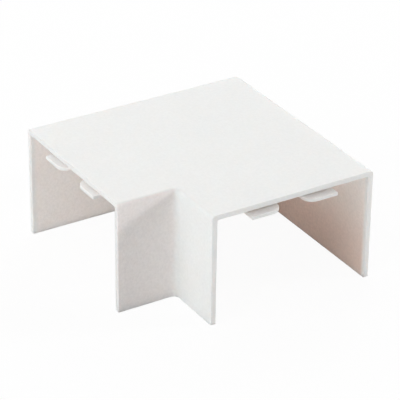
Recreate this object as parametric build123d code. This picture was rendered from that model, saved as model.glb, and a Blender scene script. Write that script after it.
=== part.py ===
from build123d import *
import math
import os

# Trunking flat angle: a one-piece moulded cover that carries a surface trunking and its lid
# round a right-angle turn on one wall.
# The wall is the plane Z = 0, and +Z points away from it. The origin is where the centre
# lines of the two trunking runs cross. One leg opens towards -Y and the other towards +X.

# Trunking that the cover fits over
trunking_width = 75.0
trunking_height = 50.0
side_clearance = 0.15

# Moulded shell
rim_thickness = 2.4
plate_thickness = 2.4
inner_draft = 0.25
leg_reach = 28.5

# Rounded edges of the shell
top_edge_radius = 1.8
outer_corner_radius = 2.2
throat_radius = 3.0
cavity_corner_radius = 1.0
cavity_roof_radius = 0.5
end_edge_radius = 0.25

# Tongues under the plate that hold the end of the trunking lid
tongue_width = 15.2
tongue_spacing = 12.2
tongue_projection = 1.2
tongue_thickness = 1.5
tongue_corner_radius = 5.0
tongue_edge_radius = 0.35
lid_slot_height = 2.4
lid_slot_depth = 8.0
slot_end_radius = 0.8
web_thickness = 2.2
web_root_radius = 0.6

# Witness marks that the mould leaves under the plate
ejector_diameter = 5.0
ejector_depth = 0.15
ejector_inset = 9.0
gate_well_diameter = 9.0
gate_well_depth = 0.5
gate_stub_diameter = 2.2
gate_stub_height = 0.4

# Places that follow from the sizes
cavity_height = trunking_height
cavity_half = trunking_width / 2 + side_clearance
draft_gain = cavity_height * math.tan(math.radians(inner_draft))
rim_cavity_half = cavity_half + draft_gain
outer_half = rim_cavity_half + rim_thickness
end_reach = outer_half + leg_reach
overall_height = cavity_height + plate_thickness
tongue_top = cavity_height - lid_slot_height
tongue_bottom = tongue_top - tongue_thickness
tongue_front = end_reach + tongue_projection
tongue_near_side = tongue_spacing / 2
tongue_far_side = tongue_near_side + tongue_width
slot_end = end_reach - lid_slot_depth
web_back = slot_end - web_thickness


def l_plan(half, reach, outer_radius, inner_radius):
    """Plan of two runs that meet at a right angle, each 2 * half wide and reach long."""
    corners = [
        (-half, -reach),
        (half, -reach),
        (half, -half),
        (reach, -half),
        (reach, half),
        (-half, half),
    ]
    plan = make_face(Polyline(*corners, close=True))
    outer_corner = plan.vertices().sort_by_distance((-half, half, 0))[0]
    plan = fillet(outer_corner, outer_radius)
    inner_corner = plan.vertices().sort_by_distance((half, -half, 0))[0]
    return fillet(inner_corner, inner_radius)


def in_open_end(edge):
    """True for an edge that lies in the face of one of the two open ends."""
    middle = edge.center()
    at_y_end = abs(middle.Y + end_reach) < 1e-4
    at_x_end = abs(middle.X - end_reach) < 1e-4
    return at_y_end or at_x_end


def outer_block():
    """Solid block of the cover's outside, its top edges rounded except at the open ends."""
    plan = l_plan(outer_half, end_reach, outer_corner_radius, throat_radius)
    block = extrude(plan, amount=overall_height)
    top_edges = block.edges().group_by(Axis.Z)[-1]
    wall_edges = top_edges.filter_by(lambda edge: not in_open_end(edge))
    return fillet(wall_edges, top_edge_radius)


def cavity():
    """Space for the trunking, tapered so that the walls thicken towards the plate."""
    throat = throat_radius + rim_thickness
    past_both_ends = end_reach + outer_half
    plan = l_plan(rim_cavity_half, past_both_ends, cavity_corner_radius, throat)
    space = extrude(plan, amount=cavity_height, taper=inner_draft)
    roof_edges = space.edges().group_by(Axis.Z)[-1]
    return fillet(roof_edges, cavity_roof_radius)


def shell():
    """Plate and walls, with the edges of the two open ends broken."""
    cover = outer_block() - cavity()
    end_edges = cover.edges().filter_by(in_open_end)
    return fillet(end_edges, end_edge_radius)


def at_height(edge, height):
    """True for an edge that lies flat at one height."""
    box = edge.bounding_box()
    return abs(box.min.Z - height) < 1e-4 and abs(box.max.Z - height) < 1e-4


def ledge_plan():
    """Plan of a tongue: a swept corner towards the middle, a square one towards the wall."""
    corners = [
        (tongue_near_side, -tongue_front),
        (tongue_far_side, -tongue_front),
        (tongue_far_side, -web_back),
        (tongue_near_side, -web_back),
    ]
    plan = make_face(Polyline(*corners, close=True))
    swept = plan.vertices().sort_by_distance((tongue_near_side, -tongue_front, 0))[0]
    plan = fillet(swept, tongue_corner_radius)
    square = plan.vertices().sort_by_distance((tongue_far_side, -tongue_front, 0))[0]
    return fillet(square, tongue_edge_radius)


def tongue_web():
    """Upright strip that hangs a tongue from the plate and closes the lid slot."""
    middle = (tongue_near_side + tongue_far_side) / 2
    into_plate = plate_thickness / 2
    strip = Box(
        tongue_width,
        web_thickness,
        lid_slot_height + into_plate,
        align=(Align.CENTER, Align.MIN, Align.MIN),
    )
    return Pos(middle, -slot_end, tongue_top) * strip


def is_lip(edge):
    """True for a top edge of a tongue in front of the rounded end of its slot."""
    in_front_of_slot_end = edge.center().Y < -slot_end - slot_end_radius - 1e-3
    return at_height(edge, tongue_top) and in_front_of_slot_end


def tongue():
    """Tongue on the +X side of the -Y end, its lip rounded to lead the lid in."""
    ledge = extrude(Pos(0, 0, tongue_bottom) * ledge_plan(), amount=tongue_thickness)
    hook = ledge + tongue_web()
    slot_corner_place = (tongue_near_side, -slot_end, tongue_top)
    slot_corner = hook.edges().filter_by(Axis.X).sort_by_distance(slot_corner_place)[0]
    hook = fillet(slot_corner, slot_end_radius)
    return fillet(hook.edges().filter_by(is_lip), tongue_edge_radius)


def four_tongues():
    """Two mirrored tongues at each open end."""
    one = tongue()
    y_end_pair = [one, mirror(one, about=Plane.YZ)]
    x_end_pair = [Rot(0, 0, 90) * each for each in y_end_pair]
    return y_end_pair + x_end_pair


def is_web_root(edge):
    """True for an edge where a tongue's web meets the underside of the plate."""
    middle = edge.center()
    outwards = max(-middle.Y, middle.X)
    across = min(abs(middle.X), abs(middle.Y))
    along_web = web_back - 1e-3 < outwards < slot_end + 1e-3
    beside_web = tongue_near_side - 1e-3 < across < tongue_far_side + 1e-3
    return at_height(edge, cavity_height) and along_web and beside_web


def with_tongues(cover):
    """Cover with its four tongues joined on and their roots rounded."""
    for each in four_tongues():
        cover = cover + each
    return fillet(cover.edges().filter_by(is_web_root), web_root_radius)


def ejector_marks():
    """Shallow round marks under the plate, near the corners and behind the webs."""
    beside_wall = cavity_half - ejector_inset
    behind_web = web_back - ejector_inset
    places = [(x, y) for x in (-beside_wall, beside_wall) for y in (-beside_wall, beside_wall)]
    places += [(x, -behind_web) for x in (-beside_wall, beside_wall)]
    places += [(behind_web, y) for y in (-beside_wall, beside_wall)]
    mark = Cylinder(
        ejector_diameter / 2,
        ejector_depth,
        align=(Align.CENTER, Align.CENTER, Align.MIN),
    )
    return [Pos(x, y, cavity_height) * mark for x, y in places]


def gate_mark():
    """Round well under the middle of the crossing, with the stub of the feed in it."""
    upwards = (Align.CENTER, Align.CENTER, Align.MIN)
    well = Cylinder(gate_well_diameter / 2, gate_well_depth, align=upwards)
    stub = Cylinder(gate_stub_diameter / 2, gate_stub_height, align=upwards)
    stub_gap = gate_well_depth - gate_stub_height
    return Pos(0, 0, cavity_height) * (well - Pos(0, 0, stub_gap) * stub)


def flat_angle_cover():
    """The whole moulding."""
    cover = with_tongues(shell())
    for mark in ejector_marks():
        cover = cover - mark
    return cover - gate_mark()


angle_cover = flat_angle_cover()
os.makedirs("parts", exist_ok=True)
export_step(angle_cover, "parts/angle_cover.step")

size = angle_cover.bounding_box().size
print(f"angle_cover {size.X:.2f} x {size.Y:.2f} x {size.Z:.2f} mm, {angle_cover.volume:.0f} mm3")
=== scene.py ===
import math

import bpy
from mathutils import Matrix, Vector


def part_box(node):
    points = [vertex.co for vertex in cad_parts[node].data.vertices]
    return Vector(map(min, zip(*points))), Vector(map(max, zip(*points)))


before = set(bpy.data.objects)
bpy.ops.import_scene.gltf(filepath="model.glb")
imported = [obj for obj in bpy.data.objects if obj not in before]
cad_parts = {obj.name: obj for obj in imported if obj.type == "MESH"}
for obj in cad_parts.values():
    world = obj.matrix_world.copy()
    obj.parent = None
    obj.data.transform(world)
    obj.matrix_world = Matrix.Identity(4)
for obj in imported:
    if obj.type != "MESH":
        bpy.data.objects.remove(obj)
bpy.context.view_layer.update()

bl_info = {
    "name": "Trunking flat angle",
    "version": (1, 0, 0),
    "blender": (4, 5, 0),
    "location": "View3D > Sidebar > Flat angle",
    "description": "Finishes the moulded trunking cover and sets it on a pale stage",
    "category": "Object",
}

COVER = "angle_cover"
MM = 0.001
COVER_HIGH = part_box(COVER)[1]

# The walls stand on z = 0, the legs open towards -Y and +X, and the tongues reach a little
# past the open ends, so the outer walls are the cover's low x and high y sides.
OUTER_HALF = COVER_HIGH.y
PLATE_THICKNESS = 2.4 * MM
TONGUE_PROJECTION = 1.2 * MM
THROAT_RADIUS = 3.0 * MM
UNDERSIDE = COVER_HIGH.z - PLATE_THICKNESS
END_REACH = COVER_HIGH.x - TONGUE_PROJECTION

# Half-way between 2.4 mm at the rim and 2.6 mm under the plate
WALL_THICKNESS = 2.5 * MM

# From an open end to just behind the tongues' webs, and from the middle to their far sides
TONGUE_DEPTH = 11.4 * MM
TONGUES_HALF_SPAN = 21.3 * MM
LID_SLOT_HEIGHT = 2.4 * MM

# The far wall is the inside of the high y wall. Its two painted shades, a warm tint inwards and a
# darker foot, fade in over this depth in front of it, the deep one also between these two places
# along x, and the foot's is not full.
FAR_WALL_SHADE_LAYER = 5 * MM
DEEP_SHADE_START = END_REACH - 5 * MM
DEEP_SHADE_END = -10 * MM
FOOT_SHADE_STRENGTH = 0.8

# Broad clouds change the colour's brightness by up to this share from the darkest to the
# lightest. Fine specks change it too, and the roughness by this spread.
CLOUD_SIZE = 18 * MM
CLOUD_DEPTH = 0.03
SPECK_SIZE = 1.1 * MM
ROUGHNESS_SPREAD = 0.1

# Each lamp's azimuth and elevation in degrees, and the side of its square in metres. All of
# them aim at one point from one distance.
FRONT_LAMP = (5, 42, 0.9)
SHADE_LAMP = (153, 22, 0.22)
BACK_LAMP = (228, 36, 0.7)
LEFT_LAMP = (285, 50, 0.8)
SIDE_LAMP = (50, 5, 0.5)
LAMP_TARGET = Vector((0.014, -0.014, 0.026))
LAMP_DISTANCE = 1.2

# Width of the camera's sensor in millimetres, and the nearest distance that it sees in metres
SENSOR_WIDTH = 36.0
CLIP_START = 0.01


class FlatAngleFinish(bpy.types.PropertyGroup):
    """Colours, painted light and shade, and texture of the white moulding"""

    outside_colour: bpy.props.FloatVectorProperty(
        name="Outside colour",
        description="Colour of the polished outer faces",
        subtype="COLOR",
        size=3,
        min=0.0,
        max=1.0,
        default=(0.86, 0.86, 0.845),
    )
    # Painted light: lighter and warmer than the outside colour, for the warm light that comes
    # through the walls and bounces inside the channel.
    inside_painted_light_colour: bpy.props.FloatVectorProperty(
        name="Inside colour",
        description="Warmer colour of the faces inside the channel",
        subtype="COLOR",
        size=3,
        min=0.0,
        max=1.0,
        default=(0.97, 0.905, 0.87),
    )
    # Painted shade: a salmon tint on the far wall away from the open end, for the warm shade there.
    deep_painted_shade_colour: bpy.props.FloatVectorProperty(
        name="Deep colour",
        description="Colour of the far wall away from the open end",
        subtype="COLOR",
        size=3,
        min=0.0,
        max=1.0,
        default=(0.99, 0.82, 0.74),
    )
    # Painted shade: dark brown at the foot of the far wall, where the cover's own shade falls.
    foot_painted_shade_colour: bpy.props.FloatVectorProperty(
        name="Foot colour",
        description="Colour of the foot of the far wall",
        subtype="COLOR",
        size=3,
        min=0.0,
        max=1.0,
        default=(0.68, 0.54, 0.47),
    )
    tongue_colour: bpy.props.FloatVectorProperty(
        name="Tongue colour",
        description="Colour of the tongues' upper faces, which light through the plate makes paler",
        subtype="COLOR",
        size=3,
        min=0.0,
        max=1.0,
        default=(0.97, 0.95, 0.93),
    )
    # Painted shade: darker and pinker than the outside colour, for the shade on this throat wall.
    throat_painted_shade_colour: bpy.props.FloatVectorProperty(
        name="Throat colour",
        description="Colour of the wall of the throat that faces +X",
        subtype="COLOR",
        size=3,
        min=0.0,
        max=1.0,
        default=(0.872, 0.815, 0.798),
    )
    # Painted light: cooler than the outside colour, to take away the warm light that the other
    # throat wall bounces onto this one.
    throat_side_bounce_offset_colour: bpy.props.FloatVectorProperty(
        name="Throat side colour",
        description="Colour of the wall of the throat that faces -Y",
        subtype="COLOR",
        size=3,
        min=0.0,
        max=1.0,
        default=(0.851, 0.868, 0.857),
    )
    speck_depth: bpy.props.FloatProperty(
        name="Speck depth",
        description="Strength of the fine specks in the colour of the outer faces",
        subtype="FACTOR",
        min=0.0,
        max=1.0,
        default=0.09,
    )
    sand_depth: bpy.props.FloatProperty(
        name="Sand depth",
        description="What the specks gain inside the channel and on the throat wall that faces +X",
        subtype="FACTOR",
        min=0.0,
        max=1.0,
        default=0.09,
    )
    deep_sand_depth: bpy.props.FloatProperty(
        name="Deep sand depth",
        description="What the specks gain on top of that on the far wall",
        subtype="FACTOR",
        min=0.0,
        max=1.0,
        default=0.2,
    )
    roughness: bpy.props.FloatProperty(
        name="Roughness",
        description="Roughness of the satin surface",
        subtype="FACTOR",
        min=0.0,
        max=1.0,
        default=0.62,
    )
    gloss: bpy.props.FloatProperty(
        name="Gloss",
        description="Strength of the surface's reflection, where 0.5 is that of clear plastic",
        subtype="FACTOR",
        min=0.0,
        max=1.0,
        default=0.4,
    )
    scatter_share: bpy.props.FloatProperty(
        name="Scatter share",
        description="Share of the light that scatters inside the thin walls before it leaves them",
        subtype="FACTOR",
        min=0.0,
        max=1.0,
        default=0.42,
    )
    scatter_reach: bpy.props.FloatProperty(
        name="Scatter reach",
        description="How far red light goes in the plastic between two turns",
        unit="LENGTH",
        default=5.0 * MM,
    )
    scatter_colour: bpy.props.FloatVectorProperty(
        name="Scatter colour",
        description="Reach of red, green and blue light as shares of the scatter reach",
        subtype="COLOR",
        size=3,
        min=0.0,
        max=1.0,
        default=(1.0, 0.8, 0.7),
    )
    grain_size: bpy.props.FloatProperty(
        name="Grain size",
        description="Size of the fine grain that the mould leaves",
        unit="LENGTH",
        default=1.2 * MM,
    )
    grain_height: bpy.props.FloatProperty(
        name="Grain height",
        description="Height of the fine grain",
        unit="LENGTH",
        default=0.12 * MM,
    )


class FlatAngleStage(bpy.types.PropertyGroup):
    """Floor, lamps and camera around the cover"""

    floor_size: bpy.props.FloatProperty(
        name="Floor size",
        description="Side of the square floor",
        unit="LENGTH",
        default=6.0,
    )
    floor_colour: bpy.props.FloatVectorProperty(
        name="Floor colour",
        description="Colour of the pale floor",
        subtype="COLOR",
        size=3,
        min=0.0,
        max=1.0,
        default=(0.93, 0.93, 0.93),
    )
    floor_glow: bpy.props.FloatProperty(
        name="Floor glow",
        description="Share of plain white in the floor as the camera sees it",
        subtype="FACTOR",
        min=0.0,
        max=1.0,
        default=0.94,
    )
    camera_azimuth: bpy.props.FloatProperty(
        name="Camera azimuth",
        description="Turn of the view about Z, from looking along +Y",
        subtype="ANGLE",
        default=math.radians(58.42),
    )
    camera_elevation: bpy.props.FloatProperty(
        name="Camera elevation",
        description="Height of the view above the floor",
        subtype="ANGLE",
        default=math.radians(28.82),
    )
    camera_roll: bpy.props.FloatProperty(
        name="Camera roll",
        description="Turn of the picture about the line of sight",
        subtype="ANGLE",
        default=math.radians(0.68),
    )
    camera_distance: bpy.props.FloatProperty(
        name="Camera distance",
        description="Distance from the camera to the point that it aims at",
        unit="LENGTH",
        default=0.9606,
    )
    camera_aim: bpy.props.FloatVectorProperty(
        name="Camera aim",
        description="Point in the middle of the picture",
        subtype="XYZ",
        unit="LENGTH",
        size=3,
        default=(0.01308, -0.01212, 0.026),
    )
    camera_lens: bpy.props.FloatProperty(
        name="Camera lens",
        description="Focal length in millimetres",
        default=196.6,
    )
    sky_strength: bpy.props.FloatProperty(
        name="Sky strength",
        description="Even light from all round",
        default=0.03,
    )
    front_lamp_power: bpy.props.FloatProperty(
        name="Front lamp power",
        description="Power of the large soft lamp over the -Y side",
        unit="POWER",
        default=9.3,
    )
    shade_lamp_power: bpy.props.FloatProperty(
        name="Shade lamp power",
        description="Power of the small lamp that draws the slanting shadow in the throat",
        unit="POWER",
        default=6.7,
    )
    back_lamp_power: bpy.props.FloatProperty(
        name="Back lamp power",
        description="Power of the soft lamp over the closed corner",
        unit="POWER",
        default=5.5,
    )
    side_lamp_power: bpy.props.FloatProperty(
        name="Side lamp power",
        description="Power of the low lamp beside the camera",
        unit="POWER",
        default=2.5,
    )
    left_lamp_power: bpy.props.FloatProperty(
        name="Left lamp power",
        description="Power of the high lamp on the closed left side",
        unit="POWER",
        default=3.85,
    )


def new_material(name):
    """Empty node material with its output, ready for a shader."""
    material = bpy.data.materials.new(name)
    material.use_nodes = True
    tree = material.node_tree
    tree.nodes.clear()
    output = tree.nodes.new("ShaderNodeOutputMaterial")
    return material, tree, output


def maths(tree, operation, *values):
    """Math node on sockets or numbers. Returns its result."""
    node = tree.nodes.new("ShaderNodeMath")
    node.operation = operation
    for socket, value in zip(node.inputs, values):
        if isinstance(value, (int, float)):
            socket.default_value = value
        else:
            tree.links.new(value, socket)
    return node.outputs[0]


def product(tree, *values):
    """All the values multiplied together."""
    result = values[0]
    for value in values[1:]:
        result = maths(tree, "MULTIPLY", result, value)
    return result


def total(tree, *values):
    """All the values added up."""
    result = values[0]
    for value in values[1:]:
        result = maths(tree, "ADD", result, value)
    return result


def ramp_between(tree, value, low, high):
    """Rises smoothly from 0 at low to 1 at high."""
    node = tree.nodes.new("ShaderNodeMapRange")
    node.interpolation_type = "SMOOTHSTEP"
    tree.links.new(value, node.inputs["Value"])
    node.inputs["From Min"].default_value = low
    node.inputs["From Max"].default_value = high
    return node.outputs["Result"]


def noise(tree, place, size, detail):
    """Noise whose grain has the given size. Returns its factor, from 0 to 1."""
    node = tree.nodes.new("ShaderNodeTexNoise")
    node.inputs["Scale"].default_value = 1.0 / size
    node.inputs["Detail"].default_value = detail
    tree.links.new(place, node.inputs["Vector"])
    return node.outputs["Fac"]


def swing(tree, factor, depth):
    """A noise factor's swing about its mean of one half, times depth."""
    return product(tree, maths(tree, "SUBTRACT", factor, 0.5), depth)


def blend(tree, first, second, factor):
    """Colour that goes from first to second with factor. Both may be sockets or colours."""
    node = tree.nodes.new("ShaderNodeMix")
    node.data_type = "RGBA"
    for name, value in (("A", first), ("B", second)):
        if isinstance(value, bpy.types.NodeSocket):
            tree.links.new(value, node.inputs[name])
        else:
            node.inputs[name].default_value = (*value, 1.0)
    tree.links.new(factor, node.inputs["Factor"])
    return node.outputs["Result"]


def scaled(tree, colour, level):
    """Colour with its brightness multiplied by level."""
    grey = tree.nodes.new("ShaderNodeCombineColor")
    for socket in grey.inputs:
        tree.links.new(level, socket)
    node = tree.nodes.new("ShaderNodeMix")
    node.data_type = "RGBA"
    node.blend_type = "MULTIPLY"
    node.inputs["Factor"].default_value = 1.0
    tree.links.new(colour, node.inputs["A"])
    tree.links.new(grey.outputs["Color"], node.inputs["B"])
    return node.outputs["Result"]


def inside_channel(tree, x, y, z):
    """1 on the faces inside the channel and under the plate, 0 on the outer faces."""
    middle_of_wall = OUTER_HALF - WALL_THICKNESS / 2
    soft = 0.4 * MM
    end_fade = 3.2 * MM
    within_low_x = ramp_between(tree, x, -middle_of_wall - soft, -middle_of_wall + soft)
    within_high_y = ramp_between(tree, y, middle_of_wall + soft, middle_of_wall - soft)
    in_y_leg = ramp_between(tree, x, middle_of_wall + soft, middle_of_wall - soft)
    in_x_leg = ramp_between(tree, y, -middle_of_wall - soft, -middle_of_wall + soft)
    in_a_leg = maths(tree, "MAXIMUM", in_y_leg, in_x_leg)
    under_plate = ramp_between(tree, z, UNDERSIDE + 2 * soft, UNDERSIDE)
    behind_y_end = ramp_between(tree, y, -END_REACH + soft, -END_REACH + end_fade)
    behind_x_end = ramp_between(tree, x, END_REACH - soft, END_REACH - end_fade)
    walls = product(tree, within_low_x, within_high_y, in_a_leg, under_plate)
    return product(tree, walls, behind_y_end, behind_x_end)


def far_wall_painted_shade(tree, x, y, z):
    """Two factors of painted shade on the inside of the high y wall: one rises inwards, one
    downwards.
    """
    inner_face = OUTER_HALF - WALL_THICKNESS
    on_wall = ramp_between(tree, y, inner_face - FAR_WALL_SHADE_LAYER, inner_face)
    inwards = ramp_between(tree, x, DEEP_SHADE_START, DEEP_SHADE_END)
    downwards = ramp_between(tree, z, UNDERSIDE, 0.0)
    return product(tree, inwards, on_wall), product(tree, downwards, on_wall, FOOT_SHADE_STRENGTH)


def tongue_tops(tree, x, y, z):
    """1 on the upper faces of the tongues and in the lid slots over them."""
    edge = 0.2 * MM
    top = UNDERSIDE - LID_SLOT_HEIGHT
    back = END_REACH - TONGUE_DEPTH
    in_slot = ramp_between(tree, z, top - 2 * edge, top - edge)
    across_x = maths(tree, "ABSOLUTE", x)
    across_y = maths(tree, "ABSOLUTE", y)
    at_y_end = product(
        tree,
        ramp_between(tree, y, -back, -back - edge),
        ramp_between(tree, across_x, TONGUES_HALF_SPAN + 2 * edge, TONGUES_HALF_SPAN + edge),
    )
    at_x_end = product(
        tree,
        ramp_between(tree, x, back, back + edge),
        ramp_between(tree, across_y, TONGUES_HALF_SPAN + 2 * edge, TONGUES_HALF_SPAN + edge),
    )
    at_an_end = maths(tree, "MAXIMUM", at_y_end, at_x_end)
    under_plate = ramp_between(tree, z, UNDERSIDE, UNDERSIDE - edge)
    return product(tree, in_slot, at_an_end, under_plate)


def throat_faces(tree, x, y):
    """Two factors, each 1 on one outer wall beside the throat: facing +X, and facing -Y. They place
    the painted colours of these walls, and the first also the stronger specks.
    """
    skin = 1.0 * MM
    edge = 0.6 * MM
    throat_end = -OUTER_HALF - THROAT_RADIUS
    minus_x = maths(tree, "MULTIPLY", x, -1.0)
    minus_y = maths(tree, "MULTIPLY", y, -1.0)
    faces = []
    for outwards, along in ((x, y), (minus_y, minus_x)):
        on_wall = ramp_between(tree, outwards, OUTER_HALF - skin, OUTER_HALF - skin + edge)
        past_throat = ramp_between(tree, along, -OUTER_HALF + skin, throat_end)
        faces.append(product(tree, on_wall, past_throat))
    return faces


def white_moulding(finish):
    """Satin white rigid plastic with the mould's fine grain, and with painted warm light and shade
    inside the channel.
    """
    material, tree, output = new_material("white_moulding")
    place = tree.nodes.new("ShaderNodeTexCoord").outputs["Object"]
    shader = tree.nodes.new("ShaderNodeBsdfPrincipled")
    shader.inputs["Specular IOR Level"].default_value = finish.gloss
    shader.inputs["Subsurface Weight"].default_value = finish.scatter_share
    shader.inputs["Subsurface Radius"].default_value = finish.scatter_colour
    shader.inputs["Subsurface Scale"].default_value = finish.scatter_reach
    tree.links.new(shader.outputs["BSDF"], output.inputs["Surface"])

    # Each colour covers the ones before it as far as its factor goes towards 1. Every colour after
    # the outside one paints light or shade onto the moulding.
    parts = tree.nodes.new("ShaderNodeSeparateXYZ")
    tree.links.new(place, parts.inputs[0])
    x, y, z = parts.outputs
    inside = inside_channel(tree, x, y, z)
    deep, foot = (product(tree, inside, factor) for factor in far_wall_painted_shade(tree, x, y, z))
    throat, throat_side = throat_faces(tree, x, y)
    colour = blend(tree, finish.outside_colour, finish.inside_painted_light_colour, inside)
    colour = blend(tree, colour, finish.deep_painted_shade_colour, deep)
    colour = blend(tree, colour, finish.foot_painted_shade_colour, foot)
    colour = blend(tree, colour, finish.tongue_colour, tongue_tops(tree, x, y, z))
    colour = blend(tree, colour, finish.throat_painted_shade_colour, throat)
    colour = blend(tree, colour, finish.throat_side_bounce_offset_colour, throat_side)

    # Clouds and specks make the colour a little lighter or darker from place to place.
    cloud = noise(tree, place, CLOUD_SIZE, detail=3.0)
    speck = noise(tree, place, SPECK_SIZE, detail=2.0)
    sand = product(tree, maths(tree, "MAXIMUM", inside, throat), finish.sand_depth)
    deep_sand = product(tree, deep, finish.deep_sand_depth)
    depth = total(tree, sand, deep_sand, finish.speck_depth)
    level = total(tree, swing(tree, cloud, CLOUD_DEPTH), swing(tree, speck, depth), 1.0)
    tree.links.new(scaled(tree, colour, level), shader.inputs["Base Color"])

    rough = total(tree, swing(tree, speck, ROUGHNESS_SPREAD), finish.roughness)
    tree.links.new(rough, shader.inputs["Roughness"])

    bump = tree.nodes.new("ShaderNodeBump")
    bump.inputs["Distance"].default_value = finish.grain_height
    grain = noise(tree, place, finish.grain_size, detail=3.0)
    tree.links.new(grain, bump.inputs["Height"])
    tree.links.new(bump.outputs["Normal"], shader.inputs["Normal"])
    return material


def pale_floor(stage):
    """Matt floor that the camera sees as white, with the cover's shadow left on it."""
    material, tree, output = new_material("pale_floor")
    matt = tree.nodes.new("ShaderNodeBsdfDiffuse")
    matt.inputs["Color"].default_value = (*stage.floor_colour, 1.0)
    glow = tree.nodes.new("ShaderNodeEmission")
    rays = tree.nodes.new("ShaderNodeLightPath")
    mix = tree.nodes.new("ShaderNodeMixShader")
    seen = maths(tree, "MAXIMUM", rays.outputs["Is Camera Ray"], rays.outputs["Is Glossy Ray"])
    tree.links.new(maths(tree, "MULTIPLY", seen, stage.floor_glow), mix.inputs["Fac"])
    tree.links.new(matt.outputs["BSDF"], mix.inputs[1])
    tree.links.new(glow.outputs["Emission"], mix.inputs[2])
    tree.links.new(mix.outputs["Shader"], output.inputs["Surface"])
    return material


def even_sky(stage):
    """World that lights evenly and that the camera sees as white."""
    world = bpy.data.worlds.new("even_sky")
    world.use_nodes = True
    tree = world.node_tree
    tree.nodes.clear()
    output = tree.nodes.new("ShaderNodeOutputWorld")
    light = tree.nodes.new("ShaderNodeBackground")
    rays = tree.nodes.new("ShaderNodeLightPath")
    strength = tree.nodes.new("ShaderNodeMix")
    strength.data_type = "FLOAT"
    strength.inputs["A"].default_value = stage.sky_strength
    strength.inputs["B"].default_value = 1.0
    tree.links.new(rays.outputs["Is Camera Ray"], strength.inputs["Factor"])
    tree.links.new(strength.outputs["Result"], light.inputs["Strength"])
    tree.links.new(light.outputs["Background"], output.inputs["Surface"])
    return world


def look_from(azimuth, elevation):
    """Unit vector from the cover towards a place at that azimuth and elevation."""
    return Vector((
        math.sin(azimuth) * math.cos(elevation),
        -math.cos(azimuth) * math.cos(elevation),
        math.sin(elevation),
    ))


def aimed(position, target, roll=0.0):
    """Matrix at position that looks at target with +Z up, turned by roll."""
    facing = (target - position).to_track_quat("-Z", "Y").to_matrix().to_4x4()
    return Matrix.Translation(position) @ facing @ Matrix.Rotation(roll, 4, "Z")


def soft_lamp(name, placement, power):
    """Square lamp aimed at the middle of the cover."""
    azimuth, elevation, side = placement
    data = bpy.data.lights.new(name, "AREA")
    data.size = side
    data.energy = power
    lamp = bpy.data.objects.new(name, data)
    bpy.context.scene.collection.objects.link(lamp)
    towards = look_from(math.radians(azimuth), math.radians(elevation))
    lamp.matrix_world = aimed(LAMP_TARGET + towards * LAMP_DISTANCE, LAMP_TARGET)


def stage_camera(stage):
    """Camera at the stage's viewing angle."""
    data = bpy.data.cameras.new("camera")
    data.sensor_width = SENSOR_WIDTH
    data.lens = stage.camera_lens
    data.clip_start = CLIP_START
    camera = bpy.data.objects.new("camera", data)
    bpy.context.scene.collection.objects.link(camera)
    aim = Vector(stage.camera_aim)
    back = look_from(stage.camera_azimuth, stage.camera_elevation)
    camera.matrix_world = aimed(aim + back * stage.camera_distance, aim, stage.camera_roll)
    return camera


class FLATANGLE_OT_cover(bpy.types.Operator):
    """Gives the moulded cover its white satin finish"""

    bl_idname = "flatangle.cover"
    bl_label = "Finish the cover"

    def execute(self, context):
        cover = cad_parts[COVER]
        if not cover.material_slots:
            raise RuntimeError("the cover has no material slot")
        material = white_moulding(context.scene.flat_angle_finish)
        for slot in cover.material_slots:
            slot.material = material
        return {"FINISHED"}


class FLATANGLE_OT_stage(bpy.types.Operator):
    """Adds the pale floor, the soft lamps and the camera"""

    bl_idname = "flatangle.stage"
    bl_label = "Build the stage"

    def execute(self, context):
        stage = context.scene.flat_angle_stage
        bpy.ops.object.select_all(action="DESELECT")
        bpy.ops.mesh.primitive_plane_add(size=stage.floor_size, location=(0.0, 0.0, 0.0))
        floor = context.active_object
        floor.name = "floor"
        floor.data.materials.append(pale_floor(stage))
        context.scene.world = even_sky(stage)

        soft_lamp("front_lamp", FRONT_LAMP, stage.front_lamp_power)
        soft_lamp("shade_lamp", SHADE_LAMP, stage.shade_lamp_power)
        soft_lamp("back_lamp", BACK_LAMP, stage.back_lamp_power)
        soft_lamp("left_lamp", LEFT_LAMP, stage.left_lamp_power)
        soft_lamp("side_lamp", SIDE_LAMP, stage.side_lamp_power)

        context.scene.camera = stage_camera(stage)
        context.scene.view_settings.view_transform = "Standard"
        return {"FINISHED"}


class FLATANGLE_PT_panel(bpy.types.Panel):
    """Lists the sizes, colours and steps of the flat angle"""

    bl_idname = "FLATANGLE_PT_panel"
    bl_label = "Flat angle"
    bl_space_type = "VIEW_3D"
    bl_region_type = "UI"
    bl_category = "Flat angle"

    def draw(self, context):
        layout = self.layout
        for group in (context.scene.flat_angle_finish, context.scene.flat_angle_stage):
            box = layout.box()
            for name in group.bl_rna.properties.keys():
                if name not in ("rna_type", "name"):
                    box.prop(group, name)
        layout.operator("flatangle.cover")
        layout.operator("flatangle.stage")


CLASSES = (
    FlatAngleFinish,
    FlatAngleStage,
    FLATANGLE_OT_cover,
    FLATANGLE_OT_stage,
    FLATANGLE_PT_panel,
)


def register():
    """Adds the classes, and their two groups of values to the scene."""
    for each in CLASSES:
        bpy.utils.register_class(each)
    bpy.types.Scene.flat_angle_finish = bpy.props.PointerProperty(type=FlatAngleFinish)
    bpy.types.Scene.flat_angle_stage = bpy.props.PointerProperty(type=FlatAngleStage)


def unregister():
    """Takes away what register added."""
    del bpy.types.Scene.flat_angle_stage
    del bpy.types.Scene.flat_angle_finish
    for each in reversed(CLASSES):
        bpy.utils.unregister_class(each)


def main():
    """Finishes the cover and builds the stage."""
    register()
    bpy.ops.flatangle.cover()
    bpy.ops.flatangle.stage()


if __name__ == "__main__":
    main()
